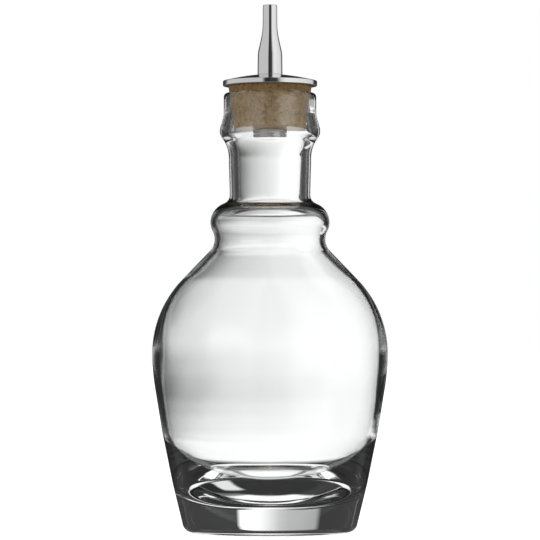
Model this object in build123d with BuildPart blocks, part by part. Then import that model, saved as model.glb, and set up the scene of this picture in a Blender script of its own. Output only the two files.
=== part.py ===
from build123d import *
from math import acos, atan2, ceil, cos, hypot, radians, sin, sqrt
import os

# A bitters bottle: clear moulded glass with a heavy foot, closed by a bored cork that carries a metal
# dasher spout. Millimetres, +Z up, origin on the axis at the height of the surface it stands on.
# Every outline is a half section in the XZ plane, given as (radius, height), and is revolved about Z.

os.makedirs("parts", exist_ok=True)

# Cork stopper: a tapered plug that seats in the mouth, with a bore for the stem
cork_top_radius = 11.9
cork_narrowing = 1.6
cork_length = 12.0
cork_exposed = 2.0
cork_edge = 0.35
cork_seat_clearance = 0.1

# Glass, outer wall. The wall stands upright at the belly, waist, collar, neck, bead and lip. Each of
# these places has a radius or a step from its neighbour, a rise above the place below it, and the
# radii of its curve below and above it.
foot_radius = 24.35
foot_rounding = 2.6
belly_radius = 33.55
belly_height = 50.6
belly_turn = 60.0
belly_turn_angle = 8.2
shoulder_turn = 30.2
waist_radius = 15.8
waist_rise = 32.5
waist_turn_low = 4.6
waist_turn_high = 5.0
collar_flare = 1.2
collar_rise = 4.8
collar_turn_low = 5.0
collar_turn_high = 5.8
neck_radius = 11.6
neck_rise = 7.9
neck_low_turn = 2.6
neck_length = 10.5
neck_high_turn = 9.8
bead_step = 1.1
bead_rise = 7.7
bead_turn_low = 3.3
bead_turn_high = 3.0
lip_wall = 1.5
lip_rise = 5.4
lip_length = 5.5
lip_low_turn = 2.0
lip_rounding = 1.1

# Glass, underside and cavity. The walls are measured level, and the lifts say how much higher each
# upright place lies inside the glass than outside it.
foot_ring_width = 5.35
punt_slope_width = 2.5
punt_depth = 0.8
floor_height = 8.8
floor_dish = 0.8
floor_corner_radius = 24.0
cavity_side_turn = 130.0
belly_wall = 2.45
cavity_belly_lift = 2.4
cavity_shoulder_turn = 28.6
throat_wall = 1.5
throat_lift = 1.0
throat_turn_low = 5.5
throat_turn_high = 4.2
neck_wall = 2.15
bore_low_lift = -0.6
bore_low_turn = 4.0
bore_high_lift = 3.6
bore_high_turn = 2.1
bead_wall = 2.95
cavity_bead_lift = -0.3
cavity_bead_turn = 3.0
mouth_seat_depth = 5.9
mouth_chamfer = 0.35
overrun = 1.0

# Metal dasher: cap disc on the cork, spout on the disc, stem through the cork, ferrule below it
disc_overhang = 1.55
disc_rim_height = 1.45
disc_crown = 1.75
disc_edge = 0.4
spout_base_radius = 3.56
spout_seat_margin = 0.14
spout_shoulder_radius = 3.45
spout_shoulder_height = 6.1
spout_waist_radius = 2.45
spout_waist_height = 10.0
spout_tip_radius = 2.1
spout_tip_length = 5.2
spout_length = 20.0
spout_bore_radius = 1.05
spout_tip_edge = 0.3
spout_socket_depth = 3.6
stem_radius = 2.4
stem_bore_radius = 1.4
stem_clearance = 0.05
ferrule_radius = 4.8
ferrule_length = 2.9
ferrule_chamfer = 0.5
ferrule_floor = 0.6

# How far a chord of the glass may stand off its curve, and how many degrees it may turn
outside_chord_height = 0.35
cavity_chord_height = 0.7
chord_angle = 50


def upright_run(low, high, low_turn, high_turn):
    """Arc, line and arc from one upright place of a wall to the next one above it, tangent all along.

    low and high are (radius, height). The two turns are the radii of the arcs, and are drawn in
    together where the places are too close for them.
    """
    side = 1 if high[0] > low[0] else -1
    width = abs(high[0] - low[0])
    rise = high[1] - low[1]
    room = (rise**2 + width**2) / (2 * width)
    fit = min(1, 0.995 * room / (low_turn + high_turn))
    low_turn, high_turn = low_turn * fit, high_turn * fit
    turns = low_turn + high_turn
    lean = atan2(rise, turns - width) - acos(turns / hypot(turns - width, rise))

    def low_point(angle):
        return (low[0] + side * low_turn * (1 - cos(angle)), low[1] + low_turn * sin(angle))

    def high_point(angle):
        return (high[0] - side * high_turn * (1 - cos(angle)), high[1] - high_turn * sin(angle))

    ThreePointArc(low, low_point(lean / 2), low_point(lean))
    Line(low_point(lean), high_point(lean))
    ThreePointArc(high_point(lean), high_point(lean / 2), high)


def chorded(outline, chord_height):
    """Corners of a closed outline whose arcs are drawn as even chords, none further off than asked."""
    corners = []
    for edge in outline.face().outer_wire().order_edges():
        steps = 1
        if edge.geom_type == GeomType.CIRCLE:
            turn = min(2 * acos(1 - chord_height / edge.radius), radians(chord_angle))
            steps = ceil(edge.length / edge.radius / turn)
        for step in range(steps):
            corner = edge @ (step / steps)
            corners.append((corner.X, corner.Y))
    return corners


# Heights and radii that follow from the sizes above
waist_height = belly_height + waist_rise
collar_height = waist_height + collar_rise
neck_low_height = collar_height + neck_rise
neck_high_height = neck_low_height + neck_length
bead_height = neck_high_height + bead_rise
lip_low_height = bead_height + lip_rise
bottle_height = lip_low_height + lip_length
cork_top_height = bottle_height + cork_exposed
cork_bottom_height = cork_top_height - cork_length
cork_bottom_radius = cork_top_radius - cork_narrowing
cork_taper = cork_narrowing / cork_length
seat_low_height = bottle_height - mouth_seat_depth
mouth_radius = cork_bottom_radius + cork_taper * (bottle_height - cork_bottom_height) + cork_seat_clearance
seat_low_radius = mouth_radius - cork_taper * mouth_seat_depth
lip_radius = mouth_radius + lip_wall
bead_radius = lip_radius + bead_step
collar_radius = waist_radius + collar_flare
disc_rim_top = cork_top_height + disc_rim_height
disc_top_height = disc_rim_top + disc_crown
ferrule_bottom_height = cork_bottom_height - ferrule_length

# Glass, outside: upright places of the wall, and the gentle side from the belly down to the foot
belly = (belly_radius, belly_height)
waist = (waist_radius, waist_height)
collar = (collar_radius, collar_height)
neck_low = (neck_radius, neck_low_height)
neck_high = (neck_radius, neck_high_height)
bead = (bead_radius, bead_height)
lip_low = (lip_radius, lip_low_height)
lip_top = (lip_radius, bottle_height)
foot = (foot_radius, 0)
punt_foot = (foot_radius - foot_ring_width, 0)
punt_edge = (foot_radius - foot_ring_width - punt_slope_width, punt_depth)
punt_top = (0, punt_depth)
belly_lean = radians(belly_turn_angle)


def belly_point(lean):
    """Place on the arc just below the belly, at a lean from upright."""
    return (belly_radius - belly_turn * (1 - cos(lean)), belly_height - belly_turn * sin(lean))


# Glass, inside: a dished floor, a round corner, the belly, and the bore that flares to the mouth
cavity_belly_height = belly_height + cavity_belly_lift
cavity_belly = (belly_radius - belly_wall, cavity_belly_height)
throat_low = (waist_radius - throat_wall, waist_height)
throat_high = (waist_radius - throat_wall, collar_height + throat_lift)
bore_low = (neck_radius - neck_wall, neck_low_height + bore_low_lift)
bore_high = (neck_radius - neck_wall, neck_high_height + bore_high_lift)
cavity_bead = (bead_radius - bead_wall, bead_height + cavity_bead_lift)
seat_low = (seat_low_radius, seat_low_height)
over_mouth = (mouth_radius + cork_taper * overrun, bottle_height + overrun)
floor_middle = (0, floor_height)
side_foot_height = floor_height + floor_dish
side_drop = cavity_belly_height - side_foot_height
side_reach = cavity_side_turn - sqrt(cavity_side_turn**2 - side_drop**2)
side_foot = (belly_radius - belly_wall - side_reach, side_foot_height)

with BuildSketch() as glass_outline:
    with BuildLine():
        Polyline(punt_top, (0, bottle_height), lip_top, lip_low)
        upright_run(bead, lip_low, bead_turn_high, lip_low_turn)
        upright_run(neck_high, bead, neck_high_turn, bead_turn_low)
        Line(neck_low, neck_high)
        upright_run(collar, neck_low, collar_turn_high, neck_low_turn)
        upright_run(waist, collar, waist_turn_high, collar_turn_low)
        upright_run(belly, waist, shoulder_turn, waist_turn_low)
        ThreePointArc(belly, belly_point(belly_lean / 2), belly_point(belly_lean))
        TangentArc(belly_point(belly_lean), foot, tangent=(-sin(belly_lean), -cos(belly_lean)))
        Polyline(foot, punt_foot, punt_edge, punt_top)
    make_face()
    fillet(glass_outline.vertices().sort_by_distance(lip_top)[0], lip_rounding)
    fillet(glass_outline.vertices().sort_by_distance(foot)[0], foot_rounding)

with BuildSketch() as cavity_outline:
    with BuildLine():
        Polyline(over_mouth, (0, over_mouth[1]), floor_middle, side_foot)
        TangentArc(cavity_belly, side_foot, tangent=(0, -1))
        upright_run(cavity_belly, throat_low, cavity_shoulder_turn, throat_turn_low)
        Line(throat_low, throat_high)
        upright_run(throat_high, bore_low, throat_turn_high, bore_low_turn)
        Line(bore_low, bore_high)
        upright_run(bore_high, cavity_bead, bore_high_turn, cavity_bead_turn)
        upright_run(cavity_bead, seat_low, cavity_bead_turn, cavity_bead_turn)
        Line(seat_low, over_mouth)
    make_face()
    fillet(cavity_outline.vertices().sort_by_distance(side_foot)[0], floor_corner_radius)

with BuildPart() as glass_bottle:
    with BuildSketch(Plane.XZ):
        with BuildLine():
            Polyline(chorded(glass_outline.sketch_local, outside_chord_height), close=True)
        make_face()
    revolve(axis=Axis.Z)
    with BuildSketch(Plane.XZ):
        with BuildLine():
            Polyline(chorded(cavity_outline.sketch_local, cavity_chord_height), close=True)
        make_face()
    revolve(axis=Axis.Z, mode=Mode.SUBTRACT)
    mouth_edge = glass_bottle.edges().filter_by(GeomType.CIRCLE).group_by(Axis.Z)[-1].sort_by(SortBy.RADIUS)[0]
    chamfer(mouth_edge, mouth_chamfer)
glass_bottle.part.label = "glass_bottle"
export_step(glass_bottle.part, "parts/glass_bottle.step")

# Cork: a turned plug with broken edges
with BuildPart() as cork_stopper:
    with BuildSketch(Plane.XZ) as plug:
        with BuildLine():
            Polyline(
                (0, cork_bottom_height),
                (cork_bottom_radius, cork_bottom_height),
                (cork_top_radius, cork_top_height),
                (0, cork_top_height),
                close=True,
            )
        make_face()
        chamfer(plug.vertices().sort_by(Axis.X)[-2:], cork_edge)
    revolve(axis=Axis.Z)
    with Locations((0, 0, cork_top_height)):
        Hole(stem_radius + stem_clearance)
cork_stopper.part.label = "cork_stopper"
export_step(cork_stopper.part, "parts/cork_stopper.step")

# Cap disc: a crowned plate with broken edges, which overhangs the cork it lies on
disc_radius = cork_top_radius + disc_overhang
with BuildPart() as cap_disc:
    with BuildSketch(Plane.XZ) as plate:
        with BuildLine():
            Polyline(
                (0, cork_top_height),
                (disc_radius, cork_top_height),
                (disc_radius, disc_rim_top),
                (spout_base_radius + spout_seat_margin, disc_top_height),
                (0, disc_top_height),
                close=True,
            )
        make_face()
        chamfer(plate.vertices().group_by(Axis.X)[-1], disc_edge)
    revolve(axis=Axis.Z)
    with Locations((0, 0, disc_top_height)):
        Hole(stem_radius + stem_clearance)
cap_disc.part.label = "cap_disc"
export_step(cap_disc.part, "parts/cap_disc.step")

# Spout: a turned nozzle, with a plain foot, a taper that quickens at its shoulder, and a straight tip
spout_top_height = disc_top_height + spout_length
with BuildPart() as dasher_spout:
    with BuildSketch(Plane.XZ) as nozzle:
        with BuildLine():
            Polyline(
                (0, disc_top_height),
                (spout_base_radius, disc_top_height),
                (spout_shoulder_radius, disc_top_height + spout_shoulder_height),
                (spout_waist_radius, disc_top_height + spout_waist_height),
                (spout_tip_radius, spout_top_height - spout_tip_length),
                (spout_tip_radius, spout_top_height),
                (0, spout_top_height),
                close=True,
            )
        make_face()
        chamfer(nozzle.vertices().group_by(Axis.Y)[-1].sort_by(Axis.X)[-1], spout_tip_edge)
    revolve(axis=Axis.Z)
    with Locations((0, 0, spout_top_height)):
        Hole(spout_bore_radius)
    with BuildSketch(Plane.XY.offset(disc_top_height)):
        Circle(stem_radius + stem_clearance)
    extrude(amount=spout_socket_depth, mode=Mode.SUBTRACT)
dasher_spout.part.label = "dasher_spout"
export_step(dasher_spout.part, "parts/dasher_spout.step")

# Stem: a tube that stands on the ferrule's floor, passes the cork and the disc, and ends in the spout
stem_foot_height = ferrule_bottom_height + ferrule_floor
stem_top_height = disc_top_height + spout_socket_depth - stem_clearance
with BuildPart() as stem_tube:
    with BuildSketch(Plane.XY.offset(stem_foot_height)):
        Circle(stem_radius)
        Circle(stem_bore_radius, mode=Mode.SUBTRACT)
    extrude(amount=stem_top_height - stem_foot_height)
stem_tube.part.label = "stem_tube"
export_step(stem_tube.part, "parts/stem_tube.step")

# Ferrule: a round nut that holds the cork up against the disc
with BuildPart() as retaining_ferrule:
    with BuildSketch(Plane.XY.offset(ferrule_bottom_height)):
        Circle(ferrule_radius)
        Circle(stem_bore_radius, mode=Mode.SUBTRACT)
    extrude(amount=ferrule_length)
    with BuildSketch(Plane.XY.offset(stem_foot_height)):
        Circle(stem_radius + stem_clearance)
    extrude(amount=ferrule_length, mode=Mode.SUBTRACT)
    foot_edges = retaining_ferrule.edges().filter_by(GeomType.CIRCLE).group_by(Axis.Z)[0]
    chamfer(foot_edges.sort_by(SortBy.RADIUS)[-1], ferrule_chamfer)
retaining_ferrule.part.label = "retaining_ferrule"
export_step(retaining_ferrule.part, "parts/retaining_ferrule.step")
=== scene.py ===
"""Looks for the bitters bottle: clear glass, natural cork, polished metal dasher spout, soft studio."""

import math
import random

import bmesh
import bpy
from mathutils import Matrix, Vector, noise


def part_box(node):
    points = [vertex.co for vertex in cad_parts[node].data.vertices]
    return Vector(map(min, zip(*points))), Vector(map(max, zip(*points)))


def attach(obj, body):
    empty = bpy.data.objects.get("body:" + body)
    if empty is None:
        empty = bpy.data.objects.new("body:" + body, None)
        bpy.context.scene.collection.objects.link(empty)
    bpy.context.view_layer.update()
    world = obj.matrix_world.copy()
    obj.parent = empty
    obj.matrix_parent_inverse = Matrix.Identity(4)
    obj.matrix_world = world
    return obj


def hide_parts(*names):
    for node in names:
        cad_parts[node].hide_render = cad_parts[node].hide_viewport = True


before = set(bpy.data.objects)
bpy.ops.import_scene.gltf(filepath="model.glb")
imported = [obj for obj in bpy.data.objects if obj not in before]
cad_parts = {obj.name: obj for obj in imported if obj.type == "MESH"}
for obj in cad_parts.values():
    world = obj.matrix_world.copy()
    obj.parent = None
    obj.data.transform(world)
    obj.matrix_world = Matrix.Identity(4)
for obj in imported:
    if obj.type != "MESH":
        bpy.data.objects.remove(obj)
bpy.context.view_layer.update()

# Outlines are in millimetres, and lathe() turns them into metres
MM = 0.001
SEGMENTS = 224
ARC_STEP = math.radians(2.5)
ON_AXIS = 1e-6

# Longest and shortest pieces of the outlines
GLASS_LONGEST, GLASS_FOOT_LONGEST, GLASS_LEAST = 2.0, 1.5, 0.04
CORK_FACE_LONGEST, CORK_SIDE_LONGEST, CORK_LEAST = 0.4, 0.2, 0.03
DISC_LONGEST, DISC_LEAST, SPOUT_LONGEST, SPOUT_LEAST, STEM_LONGEST = 0.6, 0.03, 0.5, 0.02, 1.0

# Heights of the CAD pieces, read from the frame so that the looks stay on them
_, glass_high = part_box("glass_bottle")
cork_low, cork_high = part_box("cork_stopper")
disc_low, disc_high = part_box("cap_disc")
_, spout_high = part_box("dasher_spout")
stem_low, stem_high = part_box("stem_tube")
nut_low, nut_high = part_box("retaining_ferrule")
LIP = glass_high.z / MM
CORK_FOOT, CORK_TOP = cork_low.z / MM, cork_high.z / MM
DISC_FOOT, DISC_TOP = disc_low.z / MM, disc_high.z / MM
SPOUT_TOP = spout_high.z / MM
STEM_FOOT, STEM_TOP = stem_low.z / MM, stem_high.z / MM
NUT_FOOT, NUT_TOP = nut_low.z / MM, nut_high.z / MM

# Cork: radii, edge rounding, unevenness, and the pits in its side
CORK_R_FOOT, CORK_R_TOP, CORK_BORE, CORK_EDGE = 10.3, 11.9, 2.5, 0.3
CORK_WORN_FROM, CORK_UNEVEN = 9.0, 0.03
PIT_COUNT, PIT_SEED, PIT_MARGIN = 150, 7, 0.4
PIT_HALF_WIDTH, PIT_HALF_HEIGHT, PIT_DEPTH, PIT_TILT = (0.1, 0.45), (0.1, 0.3), (0.1, 0.35), (-0.5, 0.5)
PIT_REACH_ACROSS, PIT_REACH_UP = 1.2, 1

# Metal pieces: radii, heights, roundings and the radii of the spout's curves
SOCKET_R = 2.45
DISC_R, DISC_RIM, DISC_LAND, DISC_FLAT = 13.45, 1.45, 3.7, 11.0
DISC_FOOT_ROUNDING, DISC_RIM_ROUNDING, CROWN_FALL = 0.22, 0.28, 0.11
SPOUT_BORE, SPOUT_SOCKET_DEPTH = 1.05, 3.6
SPOUT_R_FOOT, SPOUT_R_SHOULDER, SPOUT_SHOULDER = 3.56, 3.45, 6.0
SPOUT_R_WAIST, SPOUT_WAIST_BELOW_TOP, SPOUT_R_TIP = 2.06, 5.0, 2.04
SPOUT_WAIST_TURN, SPOUT_SHOULDER_TURN = 22.0, 3.2
TIP_ROUNDING, TIP_BORE_ROUNDING = 0.28, 0.18
STEM_R, STEM_BORE, STEM_CHAMFER = 2.4, 1.4, 0.1
NUT_R, NUT_FOOT_ROUNDING, NUT_TOP_ROUNDING, NUT_FLOOR = 4.8, 0.5, 0.15, 0.6


def cork_radius(z):
    """Radius of the tapered cork at a height."""
    return CORK_R_FOOT + (CORK_R_TOP - CORK_R_FOOT) * (z - CORK_FOOT) / (CORK_TOP - CORK_FOOT)


# Glass outside, from the foot up, as (radius, height)
PUNT, RING, FOOT = (0, 0.9), (19.0, 0.0), (24.35, 0.0)
FLAT = [(20.5, 0.0), (21.4, 0.0)]
FOOT_ROUNDING, FOOT_ROUNDING_TOP = 2.6, 2.8
BELLY, WAIST, COLLAR = (33.55, 50.6), (15.8, 83.1), (17.0, 87.9)
NECK_LOW, NECK_HIGH, BEAD = (11.5, 95.8), (11.75, 106.3), (14.3, 114.0)
LIP_LOW, LIP_EDGE, LIP_ROUNDING = (13.2, 119.4), (13.2, LIP), 1.1
BELOW_BELLY_TURN, BELOW_BELLY_LEAN, BELOW_BELLY_STEPS = 60, math.radians(8.2), 4

# Glass inside, from the mouth down. The mouth and the cork's seat follow the cork
SEAT_GAP, SEAT_DEPTH, MOUTH_ROUNDING = 0.1, 5.9, 0.35
MOUTH = (cork_radius(LIP) + SEAT_GAP, LIP)
SEAT = (cork_radius(LIP - SEAT_DEPTH) + SEAT_GAP, LIP - SEAT_DEPTH)
BEAD_IN, BORE_HIGH, BORE_LOW = (12.05, 113.8), (9.35, 107.0), (9.0, 95.8)
COLLAR_IN, WAIST_IN, BELLY_IN = (15.5, 87.9), (14.3, 83.1), (31.1, 52.0)
BOWL_SIDE_TURN, BOWL_FLOOR, BOWL_FLOOR_TURN, BOWL_CORNER_TURN = 130.0, 8.8, 360.0, 24.0

# Runs of the glass wall: low place, high place, and the radius of the curve at each
OUTSIDE = [
    (BELLY, WAIST, 30.2, 4.6),
    (WAIST, COLLAR, 5.0, 5.0),
    (COLLAR, NECK_LOW, 5.8, 2.6),
    (NECK_LOW, NECK_HIGH, 60, 60),
    (NECK_HIGH, BEAD, 9.8, 3.3),
    (BEAD, LIP_LOW, 5.0, 6.8),
]
INSIDE = [
    (BEAD_IN, SEAT, 2.8, 7.0),
    (BORE_HIGH, BEAD_IN, 9.0, 1.3),
    (COLLAR_IN, BORE_LOW, 4.3, 4.7),
    (WAIST_IN, COLLAR_IN, 6.5, 3.5),
    (BELLY_IN, WAIST_IN, 28.4, 6.1),
]

# Unevenness of the moulded glass below the upper bead: its size, and how far apart its waves are
UNEVEN_INSIDE, UNEVEN_OUTSIDE, UNEVEN_BELOW, UNEVEN_SHIFT = (0.05, 9.0), (0.02, 14.0), 112, 200


def shortest_turn(first, last):
    """Angle from first to last, the short way round."""
    return (last - first + math.pi) % (2 * math.pi) - math.pi


def arc(centre, radius, start, end):
    """Points of an arc between two angles, in radians."""
    steps = max(2, math.ceil(abs(end - start) / ARC_STEP))
    angles = [start + (end - start) * i / steps for i in range(steps + 1)]
    return [(centre[0] + radius * math.cos(a), centre[1] + radius * math.sin(a)) for a in angles]


def tangent_arc(start, end, direction):
    """Points from start to end on the arc that leaves start in the given direction."""
    length = math.hypot(*direction)
    normal = (-direction[1] / length, direction[0] / length)
    chord = (end[0] - start[0], end[1] - start[1])
    radius = (chord[0] ** 2 + chord[1] ** 2) / (2 * (chord[0] * normal[0] + chord[1] * normal[1]))
    centre = (start[0] + normal[0] * radius, start[1] + normal[1] * radius)
    first = math.atan2(start[1] - centre[1], start[0] - centre[0])
    last = math.atan2(end[1] - centre[1], end[0] - centre[0])
    return arc(centre, abs(radius), first, first + shortest_turn(first, last))


def upright_run(low, high, low_turn, high_turn):
    """Arc, line and arc between two places where the wall stands upright."""
    side = 1 if high[0] > low[0] else -1
    width = abs(high[0] - low[0])
    rise = high[1] - low[1]
    # Arcs that are too big for the room between the places both shrink until they just fit
    room = (rise**2 + width**2) / (2 * width)
    fit = min(1, 0.995 * room / (low_turn + high_turn))
    low_turn, high_turn = low_turn * fit, high_turn * fit
    turns = low_turn + high_turn
    lean = math.atan2(rise, turns - width) - math.acos(turns / math.hypot(turns - width, rise))
    steps = max(3, math.ceil(lean / ARC_STEP))
    angles = [lean * i / steps for i in range(steps + 1)]
    points = [(low[0] + side * low_turn * (1 - math.cos(a)), low[1] + low_turn * math.sin(a)) for a in angles]
    r, z = high
    points += [(r - side * high_turn * (1 - math.cos(a)), z - high_turn * math.sin(a)) for a in reversed(angles)]
    return points


def rounded(before, corner, after, radius, steps=8):
    """Arc that rounds a corner between the directions of two neighbouring points."""
    u = (Vector(before) - Vector(corner)).normalized()
    v = (Vector(after) - Vector(corner)).normalized()
    half = u.angle(v) / 2
    back = radius / math.tan(half)
    centre = Vector(corner) + (u + v).normalized() * (radius / math.sin(half))
    a = Vector(corner) + u * back - centre
    b = Vector(corner) + v * back - centre
    first = math.atan2(a.y, a.x)
    turn = shortest_turn(first, math.atan2(b.y, b.x))
    angles = [first + turn * (i / steps) for i in range(steps + 1)]
    points = [centre + Vector((math.cos(angle), math.sin(angle))) * radius for angle in angles]
    return [(p.x, p.y) for p in points]


def bowl(top, side_turn, floor_z, floor_turn, corner_turn):
    """Inner wall from its widest place down a gentle arc, round a corner and in along a dished floor."""
    side = (top[0] - side_turn, top[1])
    floor = (0.0, floor_z + floor_turn)
    reach, fall = side_turn - corner_turn, floor_turn - corner_turn
    dx, dz = floor[0] - side[0], floor[1] - side[1]
    gap = math.hypot(dx, dz)
    along = (gap**2 + reach**2 - fall**2) / (2 * gap)
    across = math.sqrt(reach**2 - along**2)
    corner = (side[0] + (along * dx + across * dz) / gap, side[1] + (along * dz - across * dx) / gap)
    first = math.atan2(corner[1] - side[1], corner[0] - side[0])
    last = math.atan2(corner[1] - floor[1], corner[0] - floor[0])
    points = arc(side, side_turn, 0, first)
    points += arc(corner, corner_turn, first, last)[1:]
    return points + arc(floor, floor_turn, last, -math.pi / 2)[1:]


def thinned(points, least):
    """The same points without neighbours that are closer than least."""
    kept = [points[0]]
    for p in points[1:]:
        if math.hypot(p[0] - kept[-1][0], p[1] - kept[-1][1]) >= least:
            kept.append(p)
    return kept


def filled(points, longest):
    """The same points with long gaps divided."""
    full = [points[0]]
    for p in points[1:]:
        q = full[-1]
        count = max(1, math.ceil(math.hypot(p[0] - q[0], p[1] - q[1]) / longest))
        for i in range(1, count + 1):
            full.append((q[0] + (p[0] - q[0]) * i / count, q[1] + (p[1] - q[1]) * i / count))
    return full


def glass_outline():
    """Half section of the glass from the middle of the punt, up the outside and down the inside."""
    turn, lean = BELOW_BELLY_TURN, BELOW_BELLY_LEAN
    leans = [lean * i / BELOW_BELLY_STEPS for i in range(BELOW_BELLY_STEPS + 1)]
    below = [(BELLY[0] - turn * (1 - math.cos(a)), BELLY[1] - turn * math.sin(a)) for a in leans]
    side = tangent_arc(below[-1], FOOT, (-math.sin(lean), -math.cos(lean)))
    side = [p for p in filled(side, GLASS_FOOT_LONGEST) if p[1] > FOOT_ROUNDING_TOP]
    out = filled(tangent_arc(PUNT, RING, (1, 0)), GLASS_FOOT_LONGEST)
    out += FLAT
    out += rounded(FLAT[0], FOOT, side[-1], FOOT_ROUNDING, 14)
    out += reversed(side)
    out += reversed(below)
    for run in OUTSIDE:
        out += upright_run(*run)
    out += rounded(LIP_LOW, LIP_EDGE, MOUTH, LIP_ROUNDING)
    out += rounded(LIP_EDGE, MOUTH, SEAT, MOUTH_ROUNDING, 5)
    for run in INSIDE:
        out += reversed(upright_run(*run))
    out += bowl(BELLY_IN, BOWL_SIDE_TURN, BOWL_FLOOR, BOWL_FLOOR_TURN, BOWL_CORNER_TURN)
    return thinned(filled(out, GLASS_LONGEST), GLASS_LEAST)


def lathe(name, outline, segments=SEGMENTS):
    """Turns a half section about Z, and closes it on itself unless it starts and ends on the axis."""
    mesh = bmesh.new()
    angles = [2 * math.pi * i / segments for i in range(segments)]
    rings = []
    for r, z in outline:
        if r < ON_AXIS:
            rings.append([mesh.verts.new((0, 0, z * MM))])
        else:
            places = [(r * MM * math.cos(a), r * MM * math.sin(a), z * MM) for a in angles]
            rings.append([mesh.verts.new(place) for place in places])
    pairs = list(zip(rings, rings[1:]))
    if len(rings[0]) > 1:
        pairs.append((rings[-1], rings[0]))
    for a, b in pairs:
        for i in range(segments):
            j = (i + 1) % segments
            if len(a) == 1:
                mesh.faces.new((a[0], b[j], b[i]))
            elif len(b) == 1:
                mesh.faces.new((a[i], a[j], b[0]))
            else:
                mesh.faces.new((a[i], a[j], b[j], b[i]))
    bmesh.ops.recalc_face_normals(mesh, faces=mesh.faces)
    data = bpy.data.meshes.new(name)
    mesh.to_mesh(data)
    mesh.free()
    for polygon in data.polygons:
        polygon.use_smooth = True
    piece = bpy.data.objects.new(name, data)
    bpy.context.scene.collection.objects.link(piece)
    return piece


def shift_points(piece, move):
    """Moves every vertex by what move(point, normal) returns."""
    # Blender works all normals out again after a move, so they are read before the first
    normals = [vertex.normal.copy() for vertex in piece.data.vertices]
    for vertex, normal in zip(piece.data.vertices, normals):
        vertex.co += move(vertex.co, normal)


# The colour sockets of a Mix node, which has others of the same names
MIX_A, MIX_B, MIX_OUT = 6, 7, 2


class Tree:
    """The nodes of a material or of the world, with short ways to add to them."""

    def __init__(self, owner):
        owner.use_nodes = True
        self.nodes = owner.node_tree.nodes
        self.links = owner.node_tree.links

    def feed(self, node, inputs):
        """Links or sets inputs of a node. A number on a colour is a grey level."""
        for key, value in inputs.items():
            socket = node.inputs[key]
            if isinstance(value, bpy.types.NodeSocket):
                self.links.new(value, socket)
            elif socket.type == "RGBA" and isinstance(value, float):
                socket.default_value = (value, value, value, 1)
            else:
                socket.default_value = value

    def add(self, kind, inputs=None):
        """A new node with its inputs, by name or by number."""
        node = self.nodes.new("ShaderNode" + kind)
        self.feed(node, inputs or {})
        return node

    def calculate(self, operation, *values):
        node = self.add("Math", dict(enumerate(values)))
        node.operation = operation
        return node.outputs["Value"]

    def mix(self, factor, first, second, blend_type="MIX"):
        """The first colour where the factor is 0, and the second, or the blend of both, where it is 1."""
        node = self.add("Mix")
        node.data_type = "RGBA"
        node.blend_type = blend_type
        self.feed(node, {"Factor": factor, MIX_A: first, MIX_B: second})
        return node.outputs[MIX_OUT]

    def share(self, source, low, high):
        """0 up to low, 1 from high, and even between."""
        node = self.add("MapRange", {"Value": source, "From Min": low, "From Max": high})
        return node.outputs["Result"]

    def ramp(self, source, stops):
        """Colours over a factor. Stops are (place, colour)."""
        node = self.add("ValToRGB", {"Fac": source})
        elements = node.color_ramp.elements
        while len(elements) < len(stops):
            elements.new(0.5)
        for element, (place, colour) in zip(elements, stops):
            element.position = place
            element.color = (*colour, 1)
        return node.outputs["Color"]

    def texture(self, scale, detail=4.0, stretch=(1, 1, 1)):
        """Noise in the object's own space, stretched along its axes."""
        place = self.add("TexCoord").outputs["Object"]
        mapping = self.add("Mapping", {"Vector": place, "Scale": stretch})
        node = self.add("TexNoise", {"Vector": mapping.outputs["Vector"], "Scale": scale, "Detail": detail})
        return node.outputs["Fac"]

    def bump(self, source, strength, distance):
        node = self.add("Bump", {"Height": source, "Strength": strength, "Distance": distance})
        return node.outputs["Normal"]


def material(name):
    """A new node material, its tree and its shader."""
    made = bpy.data.materials.new(name)
    tree = Tree(made)
    return made, tree, tree.nodes["Principled BSDF"]


def glass_material():
    made, tree, shader = material("clear_glass")
    ripple = tree.texture(scale=60, detail=2.0, stretch=(1, 1, 0.5))
    looks = {
        "Base Color": (0.985, 0.992, 0.99, 1),
        "Roughness": 0.0,
        "IOR": 1.5,
        "Transmission Weight": 1.0,
        "Normal": tree.bump(ripple, strength=0.06, distance=0.0004),
    }
    tree.feed(shader, looks)
    return made


def metal_material(name, colour, smoothest, roughest, metallic=1.0):
    """Turned metal with faint smudges, which change its tone a little, and its roughness."""
    made, tree, shader = material(name)
    turned = tree.texture(scale=900, detail=3.0, stretch=(0.05, 0.05, 1))
    smudge = tree.texture(scale=260)
    looks = {
        "Metallic": metallic,
        "Base Color": tree.ramp(smudge, [(0.3, [c * 0.97 for c in colour]), (0.7, colour)]),
        "Roughness": tree.ramp(smudge, [(0.35, [smoothest] * 3), (0.7, [roughest] * 3)]),
        "Normal": tree.bump(turned, strength=0.05, distance=0.0001),
    }
    tree.feed(shader, looks)
    return made


# Tones of the cork's grain, what darkens it in its thin cracks, and the painted shade that darkens its rim above
# the lip, where the cap's disc shades it
CORK_TONES = [
    (0.3, (0.27, 0.16, 0.055)),
    (0.42, (0.42, 0.265, 0.1)),
    (0.6, (0.49, 0.325, 0.14)),
    (0.75, (0.55, 0.39, 0.19)),
]
CORK_CRACKS = [
    (0.435, (1, 1, 1)),
    (0.45, (0.4, 0.34, 0.28)),
    (0.465, (1, 1, 1)),
    (0.6, (1, 1, 1)),
    (0.615, (0.45, 0.38, 0.3)),
    (0.63, (1, 1, 1)),
]
CORK_RIM_PAINTED_SHADE = (0.47, 0.44, 0.45, 1)
RIM_FROM, RIM_FULL_FROM = LIP - 1.2, LIP + 0.4


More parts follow.
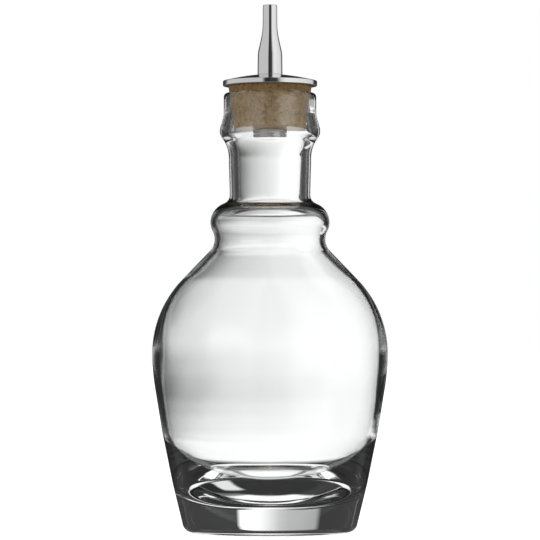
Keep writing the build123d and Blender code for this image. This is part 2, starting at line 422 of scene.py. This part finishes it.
def cork_material():
    """Cork with painted shade on its rim above the lip. Below the lip it has the sheen of the glass that it is
    pressed against.
    """
    made, tree, shader = material("cork")
    grain = tree.texture(scale=900, detail=6.0, stretch=(1, 1, 0.8))
    cracks = tree.texture(scale=300, detail=3.0, stretch=(1, 1, 1.5))
    colour = tree.mix(1.0, tree.ramp(grain, CORK_TONES), tree.ramp(cracks, CORK_CRACKS), "MULTIPLY")
    place = tree.add("TexCoord").outputs["Object"]
    height = tree.add("SeparateXYZ", {"Vector": place}).outputs["Z"]
    # Painted shade: from just below the lip up, the cork's colour is multiplied darker in place of the shade
    # under the cap's disc
    rim = tree.share(height, RIM_FROM * MM, RIM_FULL_FROM * MM)
    looks = {
        "Base Color": tree.mix(rim, colour, CORK_RIM_PAINTED_SHADE, "MULTIPLY"),
        "Roughness": 0.85,
        "Specular IOR Level": 0.25,
        "Coat Weight": tree.calculate("SUBTRACT", 1.0, rim),
        "Coat Roughness": 0.3,
        "Coat IOR": 2.3,
        "Normal": tree.bump(grain, strength=0.35, distance=0.0003),
    }
    tree.feed(shader, looks)
    return made


def stands_for(piece, node, body, made):
    """Gives a piece its material and puts it in the place of its CAD node."""
    piece.data.materials.append(made)
    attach(piece, body)
    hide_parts(node)


def make_glass():
    piece = lathe("glass_wall", glass_outline())

    def uneven(point, normal):
        x, y, z = point / MM
        radius = math.hypot(x, y)
        if radius < 1 or z > UNEVEN_BELOW:
            return Vector((0, 0, 0))
        inside = normal.x * x + normal.y * y < 0
        size, reach = UNEVEN_INSIDE if inside else UNEVEN_OUTSIDE
        # The inside takes its noise from elsewhere, so that the two walls aren't uneven alike
        place = Vector((x, y, z + (UNEVEN_SHIFT if inside else 0))) / reach
        push = size * (noise.noise(place) - 1)
        return Vector((x, y, 0)) / radius * push * MM

    shift_points(piece, uneven)
    stands_for(piece, "glass_bottle", "bottle", glass_material())


def make_cork():
    low, high = CORK_FOOT, CORK_TOP
    outline = filled([(CORK_BORE, low), (CORK_R_FOOT - CORK_EDGE, low)], CORK_FACE_LONGEST)
    outline += rounded((CORK_BORE, low), (CORK_R_FOOT, low), (cork_radius(low + 1), low + 1), CORK_EDGE, 4)
    ends = [(cork_radius(z), z) for z in (low + CORK_EDGE, high - CORK_EDGE)]
    outline += filled(ends, CORK_SIDE_LONGEST)[1:-1]
    outline += rounded((cork_radius(high - 1), high - 1), (CORK_R_TOP, high), (CORK_BORE, high), CORK_EDGE, 4)
    outline += filled([(CORK_R_TOP - CORK_EDGE, high), (CORK_BORE, high)], CORK_FACE_LONGEST)[1:]
    piece = lathe("cork_plug", thinned(outline, CORK_LEAST), 320)
    dice = random.Random(PIT_SEED)
    pits = []
    for _ in range(PIT_COUNT):
        angle = dice.uniform(0, 2 * math.pi)
        z = dice.uniform(low + PIT_MARGIN, high - PIT_MARGIN)
        shape = [dice.uniform(*span) for span in (PIT_HALF_WIDTH, PIT_HALF_HEIGHT, PIT_DEPTH, PIT_TILT)]
        pits.append((angle, z, cork_radius(z), *shape))

    def worn(point, _):
        x, y, z = point / MM
        radius = math.hypot(x, y)
        if radius < CORK_WORN_FROM:
            return Vector((0, 0, 0))
        push = CORK_UNEVEN * (noise.noise(Vector((x, y, z)) * 1.3) - 0.6)
        angle = math.atan2(y, x)
        for pit_angle, pit_z, r, half_width, half_height, depth, tilt in pits:
            if abs(z - pit_z) > PIT_REACH_UP:
                continue
            across = shortest_turn(pit_angle, angle) * r
            if abs(across) > PIT_REACH_ACROSS:
                continue
            u = (across + tilt * (z - pit_z)) / half_width
            v = (z - pit_z) / half_height
            d = u * u + v * v
            if d < 1:
                push -= depth * (1 - d)
        return Vector((x, y, 0)) / radius * push * MM

    shift_points(piece, worn)
    stands_for(piece, "cork_stopper", "stopper", cork_material())


def make_disc(chrome):
    foot, top, rim = DISC_FOOT, DISC_TOP, DISC_FOOT + DISC_RIM
    outline = [(SOCKET_R, foot), (DISC_FLAT, foot)]
    outline += rounded((DISC_FLAT, foot), (DISC_R, foot), (DISC_R, rim), DISC_FOOT_ROUNDING, 6)
    outline += rounded((DISC_R, foot), (DISC_R, rim), (DISC_LAND, top), DISC_RIM_ROUNDING)
    crown = tangent_arc((DISC_LAND, top), (DISC_R - 0.25, rim + 0.02), (1, -CROWN_FALL))
    crown = [p for p in crown if p[0] < outline[-1][0] - 0.2]
    outline += reversed(filled(crown, DISC_LONGEST))
    outline += [(DISC_LAND - 0.5, top), (SOCKET_R, top)]
    piece = lathe("cap_plate", thinned(outline, DISC_LEAST))
    stands_for(piece, "cap_disc", "stopper", chrome)


def make_spout(chrome):
    foot, top = DISC_TOP, SPOUT_TOP
    ceiling, shoulder, waist = foot + SPOUT_SOCKET_DEPTH, foot + SPOUT_SHOULDER, top - SPOUT_WAIST_BELOW_TOP
    outline = [(SPOUT_BORE, ceiling), (SOCKET_R, ceiling), (SOCKET_R, foot)]
    outline += [(SPOUT_R_FOOT - 0.16, foot), (SPOUT_R_FOOT, foot + 0.12)]
    base = [(SPOUT_R_FOOT, foot + 0.3), (3.5, shoulder - 1.0), (SPOUT_R_SHOULDER + 0.01, shoulder)]
    outline += filled(base, SPOUT_LONGEST)
    # An upright run goes from low to high, so the taper is drawn with its heights turned over
    turns = (SPOUT_WAIST_TURN, SPOUT_SHOULDER_TURN)
    taper = upright_run((SPOUT_R_WAIST, -waist), (SPOUT_R_SHOULDER, -shoulder), *turns)
    outline += filled([(r, -z) for r, z in reversed(taper)][1:], SPOUT_LONGEST)
    outline += filled([(SPOUT_R_WAIST, waist + 0.2), (SPOUT_R_TIP, top - 0.4)], SPOUT_LONGEST)
    outline += rounded((SPOUT_R_TIP, foot), (SPOUT_R_TIP, top), (SPOUT_BORE, top), TIP_ROUNDING, 6)
    outline += rounded((SPOUT_R_TIP, top), (SPOUT_BORE, top), (SPOUT_BORE, foot), TIP_BORE_ROUNDING, 4)
    outline += [(SPOUT_BORE, top - 0.6)]
    piece = lathe("spout_nozzle", thinned(outline, SPOUT_LEAST), 160)
    stands_for(piece, "dasher_spout", "stopper", chrome)


def make_stem(steel):
    low, high, chamfer = STEM_FOOT, STEM_TOP, STEM_CHAMFER
    outline = [(STEM_BORE, low), (STEM_R - chamfer, low), (STEM_R, low + chamfer)]
    outline += filled([(STEM_R, low + 0.3), (STEM_R, high - 0.3)], STEM_LONGEST)
    outline += [(STEM_R, high - chamfer), (STEM_R - chamfer, high)]
    outline += [(STEM_BORE + chamfer, high), (STEM_BORE, high - chamfer)]
    piece = lathe("stem_pipe", outline, 96)
    stands_for(piece, "stem_tube", "stopper", steel)


def make_nut(satin):
    low, high = NUT_FOOT, NUT_TOP
    outline = [(STEM_BORE, low), (NUT_R - 0.6, low)]
    outline += rounded((STEM_BORE, low), (NUT_R, low), (NUT_R, high), NUT_FOOT_ROUNDING, 6)[1:]
    outline += [(NUT_R, low + 1.5)]
    outline += rounded((NUT_R, low), (NUT_R, high), (SOCKET_R, high), NUT_TOP_ROUNDING, 4)
    outline += [(SOCKET_R, high), (SOCKET_R, low + NUT_FLOOR), (STEM_BORE, low + NUT_FLOOR)]
    piece = lathe("ferrule_nut", outline, 128)
    stands_for(piece, "retaining_ferrule", "stopper", satin)


# The studio is grey levels by direction: round from the backdrop (right is positive), or up from level.
# A band has the range of degrees that it covers, and its stops as (degrees, level or share).
ROUND, BACK, LEVEL, DOWN, UP = (-180, 180), (-62, 62), (-10, 10), (-90, 0), (0, 90)

# Backdrop, as glass shows it: levels at its foot, higher up and at its top
BACKDROP_LOW = (BACK, [
    (-50, 0.04), (-28, 0.08), (-20, 0.42), (-12, 0.74), (-6, 0.96), (-2, 1.1), (2, 1.2), (8, 1.25),
])
BACKDROP_HIGH = (BACK, [
    (-50, 0.03), (-24, 0.05), (-18, 0.12), (-12, 0.2), (-8, 0.34),
    (-4, 0.52), (-2, 0.68), (2, 0.98), (4, 1.15), (8, 1.25),
])
BACKDROP_TOP = (BACK, [
    (-24, 0.04), (-21, 0.42), (-12, 0.5), (-8, 0.52), (-4, 0.62), (-2, 0.75), (2, 0.98), (8, 1.25),
])
LOW_TO_HIGH = (LEVEL, [(-5, 0.0), (6, 1.0)])
HIGH_TO_TOP = ((0, 40), [(8, 0.0), (11, 1.0)])
OVER_BACKDROP, OVER_BACKDROP_GREY = ((0, 40), [(13, 0.0), (18, 1.0)]), 0.04
BEHIND, BESIDE_GREY = (ROUND, [(-75, 0.0), (-62, 1.0), (60, 1.0), (75, 0.0)]), 0.02

# Right edge of the backdrop, which leans, and the levels past it
EDGE, EDGE_LEAN = ((0, 60), [(29.5, 0.0), (32, 1.0)]), 1.45
PAST_EDGE = (LEVEL, [(-5, 0.14), (5, 0.05)])

# Bright table before the backdrop, dark under it, a glow low on the left, and a light far above
TABLE = ((-90, 90), [(-24, 0.02), (-16, 0.3), (-12, 1.2), (13, 1.2), (18, 0.05)])
TABLE_RISE = ((-30, 30), [(-14, 1.0), (-9, 0.0)])
UNDER, UNDER_GREY = (DOWN, [(-50, 1.0), (-42, 0.0)]), 0.03
GLOW = ((-90, 90), [(-72, 0.0), (-64, 1.0), (-34, 1.0), (-28, 0.0)])
GLOW_RISE, GLOW_GREY = (DOWN, [(-62, 0.0), (-58, 1.0), (-43, 1.0), (-39, 0.0)]), 0.85
ABOVE, ABOVE_GREY = (UP, [(46, 0.0), (58, 1.0)]), 0.7

# The other three sides and steeply below, for rays that pass the glass and aren't turned back in it
SIDE_LOW = ((-45, 45), [(-28, 0.12), (-20, 0.4), (-8, 0.85), (0, 1.0), (20, 1.0), (26, 0.2)])
SIDE_HIGH = ((-45, 45), [(-24, 0.08), (-12, 0.4), (0, 0.9), (18, 1.0), (24, 0.1)])
SIDE_ABOVE, SIDE_ABOVE_GREY = ((0, 60), [(20, 0.0), (40, 1.0)]), 0.3
SIDE_TABLE, SIDE_TABLE_GREY = (DOWN, [(-14, 1.0), (-9, 0.0)]), 1.05
SIDE_UNDER, SIDE_UNDER_GREY = (DOWN, [(-54, 1.0), (-44, 0.0)]), 0.03
CORNERS = (ROUND, [(-25, 1.0), (-21, 0.0), (21, 0.0), (25, 1.0)])
CORNERS_RISE, CORNERS_GREY = (DOWN, [(-54, 0.0), (-44, 1.0), (-22, 1.0), (-16, 0.0)]), 1.0
STEEP, STEEP_GREY = (DOWN, [(-58, 1.0), (-52, 0.0)]), 0.85

# Soft boxes for metal and for the outer face of the glass, dim below, with a dark card over the backdrop
BOXES = (ROUND, [
    (-168, 0.03), (-160, 0.62), (-56, 0.62), (-40, 0.05), (42, 0.04),
    (54, 0.7), (80, 0.84), (140, 0.95), (152, 0.7), (163, 0.05),
])
BOXES_FOOT, BOXES_FOOT_GREY = ((-30, 30), [(-14, 1.0), (-6, 0.0)]), 0.2
CARD = (ROUND, [(-50, 0.0), (-42, 1.0), (42, 1.0), (50, 0.0)])
CARD_RISE, CARD_GREY = (UP, [(11, 0.0), (15, 1.0), (60, 1.0), (66, 0.0)]), 0.03

# For rays that are turned back in the glass: dark beside the middle, and boxes on the camera's side
TURNED_AWAY = (BACK, [(-16, 1.0), (-5, 0.0), (5, 0.0), (12, 1.0)])
TURNED_AWAY_RISE, TURNED_AWAY_GREY = ((-20, 20), [(-9, 0.0), (-4, 1.0)]), 0.02
CAMERA_SIDE = (ROUND, [(-115, 1.0), (-100, 0.0), (100, 0.0), (115, 1.0)])
CAMERA_SIDE_RISE = ((-90, 90), [(-24, 0.0), (-16, 1.0), (20, 1.0), (50, 0.0)])
FRONT = (ROUND, [(-168, 0.05), (-158, 0.35), (-90, 0.35), (90, 1.0), (142, 1.0), (153, 0.6), (163, 0.05)])
OVER_FRONT, OVER_FRONT_GREY = ((-20, 20), [(-7, 0.0), (-1, 1.0)]), 0.4


def studio_world():
    """White to the camera and to matte surfaces. Metal and glass see a dark studio with lit parts."""
    world = bpy.data.worlds.new("studio")
    bpy.context.scene.world = world
    tree = Tree(world)
    tree.nodes.clear()
    split = tree.add("SeparateXYZ", {"Vector": tree.add("TexCoord").outputs["Generated"]})
    turn = tree.calculate("ARCTAN2", split.outputs["X"], split.outputs["Y"])
    rise = tree.calculate("ARCSINE", split.outputs["Z"])
    quarter = tree.calculate("WRAP", turn, math.radians(45), math.radians(-45))
    path = tree.add("LightPath").outputs

    def grey(source, band):
        """Levels or shares of a band."""
        (low, high), stops = band
        share = tree.share(source, math.radians(low), math.radians(high))
        return tree.ramp(share, [((d - low) / (high - low), (v, v, v)) for d, v in stops])

    def patch(turn_band, rise_band):
        """Share of a patch that has limits both round and up."""
        return tree.calculate("MULTIPLY", grey(turn, turn_band), grey(rise, rise_band))

    backdrop = tree.mix(grey(rise, LOW_TO_HIGH), grey(turn, BACKDROP_LOW), grey(turn, BACKDROP_HIGH))
    backdrop = tree.mix(grey(rise, HIGH_TO_TOP), backdrop, grey(turn, BACKDROP_TOP))
    leaning = tree.calculate("ADD", turn, tree.calculate("MULTIPLY", rise, EDGE_LEAN))
    backdrop = tree.mix(grey(leaning, EDGE), backdrop, grey(rise, PAST_EDGE))
    backdrop = tree.mix(grey(rise, OVER_BACKDROP), backdrop, OVER_BACKDROP_GREY)
    backdrop = tree.mix(grey(rise, TABLE_RISE), backdrop, grey(turn, TABLE))
    behind = grey(turn, BEHIND)
    around = tree.mix(behind, BESIDE_GREY, backdrop)
    around = tree.mix(grey(rise, UNDER), around, UNDER_GREY)
    around = tree.mix(patch(GLOW, GLOW_RISE), around, GLOW_GREY)
    around = tree.mix(grey(rise, ABOVE), around, ABOVE_GREY)

    sides = tree.mix(grey(rise, LOW_TO_HIGH), grey(quarter, SIDE_LOW), grey(quarter, SIDE_HIGH))
    sides = tree.mix(grey(rise, SIDE_ABOVE), sides, SIDE_ABOVE_GREY)
    sides = tree.mix(grey(rise, SIDE_TABLE), sides, SIDE_TABLE_GREY)
    sides = tree.mix(grey(rise, SIDE_UNDER), sides, SIDE_UNDER_GREY)
    through = tree.mix(behind, sides, around)
    through = tree.mix(patch(CORNERS, CORNERS_RISE), through, CORNERS_GREY)
    through = tree.mix(grey(rise, STEEP), through, STEEP_GREY)

    boxes = tree.mix(grey(rise, BOXES_FOOT), grey(turn, BOXES), BOXES_FOOT_GREY)
    boxes = tree.mix(patch(CARD, CARD_RISE), boxes, CARD_GREY)

    shaded = tree.mix(patch(TURNED_AWAY, TURNED_AWAY_RISE), around, TURNED_AWAY_GREY)
    front = tree.mix(grey(rise, OVER_FRONT), grey(turn, FRONT), OVER_FRONT_GREY)
    once = tree.calculate("LESS_THAN", path["Glossy Depth"], 1.5)
    back = tree.calculate("MULTIPLY", once, patch(CAMERA_SIDE, CAMERA_SIDE_RISE))
    bent = tree.mix(back, shaded, front)

    turned_back = tree.calculate("GREATER_THAN", path["Glossy Depth"], 0.5)
    inside = tree.calculate("GREATER_THAN", path["Transmission Depth"], 0.5)
    scattered = tree.calculate("GREATER_THAN", path["Diffuse Depth"], 0.5)
    seen = tree.mix(inside, boxes, tree.mix(turned_back, through, bent))
    seen = tree.mix(scattered, seen, 1.0)
    seen = tree.mix(path["Is Camera Ray"], seen, 1.0)
    background = tree.add("Background", {"Color": seen})
    tree.add("OutputWorld", {"Surface": background.outputs["Background"]})


FLOOR_REACH, FLOOR_DROP = 6.0, 0.0002
FLOOR_COLOUR, FLOOR_GLOW = (0.6, 0.6, 0.6, 1), 0.75


def floor_material():
    """Pale matte floor that glows for the camera alone. Metal and glass see the studio through it."""
    made = bpy.data.materials.new("pale_floor")
    tree = Tree(made)
    tree.nodes.clear()
    path = tree.add("LightPath").outputs
    matte = tree.add("BsdfDiffuse", {"Color": FLOOR_COLOUR}).outputs["BSDF"]
    glow = tree.add("Emission", {"Strength": tree.calculate("MULTIPLY", path["Is Camera Ray"], FLOOR_GLOW)})
    pale = tree.add("AddShader", {0: matte, 1: glow.outputs["Emission"]}).outputs["Shader"]
    clear = tree.add("BsdfTransparent").outputs["BSDF"]
    bent = tree.calculate("MAXIMUM", path["Is Glossy Ray"], path["Is Transmission Ray"])
    surface = tree.add("MixShader", {"Fac": bent, 1: pale, 2: clear}).outputs["Shader"]
    tree.add("OutputMaterial", {"Surface": surface})
    return made


def make_floor():
    r = FLOOR_REACH
    data = bpy.data.meshes.new("floor")
    data.from_pydata([(-r, -r, 0), (r, -r, 0), (r, r, 0), (-r, r, 0)], [], [(0, 1, 2, 3)])
    piece = bpy.data.objects.new("floor", data)
    piece.location.z = -FLOOR_DROP
    bpy.context.scene.collection.objects.link(piece)
    data.materials.append(floor_material())


# Camera of the photo: its place in metres, how far it looks up, and its lens in pixels of the 540-pixel frame
CAMERA_PLACE, CAMERA_LIFT = (0, -0.912, 0.054), 1.282
SENSOR_MM, FRAME_PX, LENS_PX = 36, 540, 3200


def make_camera():
    data = bpy.data.cameras.new("camera")
    data.sensor_width = SENSOR_MM
    data.lens = SENSOR_MM * LENS_PX / FRAME_PX
    camera = bpy.data.objects.new("camera", data)
    camera.location = CAMERA_PLACE
    camera.rotation_euler = (math.radians(90 + CAMERA_LIFT), 0, 0)
    bpy.context.scene.collection.objects.link(camera)
    bpy.context.scene.camera = camera


CHROME = metal_material("chrome", (0.84, 0.84, 0.85), 0.05, 0.12)
SATIN = metal_material("satin_nickel", (0.74, 0.74, 0.74), 0.25, 0.35, metallic=0.5)
STEEL = metal_material("drawn_steel", (0.62, 0.62, 0.63), 0.22, 0.34)
make_glass()
make_cork()
make_disc(CHROME)
make_spout(CHROME)
make_stem(STEEL)
make_nut(SATIN)
studio_world()
make_floor()
make_camera()
scene = bpy.context.scene
scene.view_settings.view_transform = "Standard"
scene.cycles.max_bounces = 32
scene.cycles.transmission_bounces = 24
scene.cycles.glossy_bounces = 12
